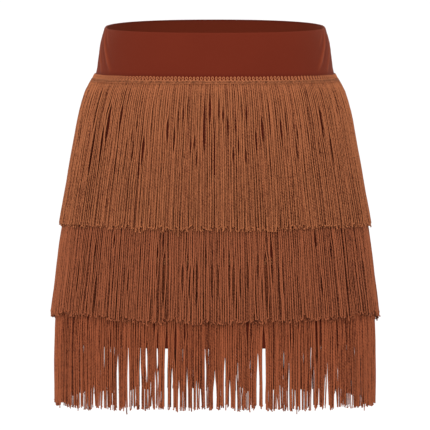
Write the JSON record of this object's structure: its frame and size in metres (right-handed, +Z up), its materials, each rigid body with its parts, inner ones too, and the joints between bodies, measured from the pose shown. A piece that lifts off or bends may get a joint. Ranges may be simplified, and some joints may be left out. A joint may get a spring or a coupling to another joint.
{
  "type": "latin dance skirt",
  "caption": "Pull-on latin dance skirt with a wide stretch waistband, a fitted knit underskirt and overlapping tiers of long hanging fringe, open at waist and hem.",
  "frame": {"origin": "centre of the waist opening, level with the waistband's top edge at the side seams, where the wearer's waist holds the skirt", "axes": "+Z up, out of the waist opening; the front of the skirt faces -Y; +X is at the right of the front view"},
  "size_m": [0.3597, 0.2582, 0.4176],
  "materials": {
    "waistband": "smooth stretch knit, reddish brown, with a faint sheen",
    "underskirt": "plain stretch knit, dark reddish brown",
    "fringe": "twisted rayon fringe yarn, copper brown, soft sheen"
  },
  "bodies": {
    "root": {"waistband_front": "waistband", "waistband_back": "waistband", "underskirt_front": "underskirt", "underskirt_back": "underskirt", "fringe_top": "fringe", "fringe_middle": "fringe", "fringe_bottom": "fringe"}
  },
  "joints": []
}
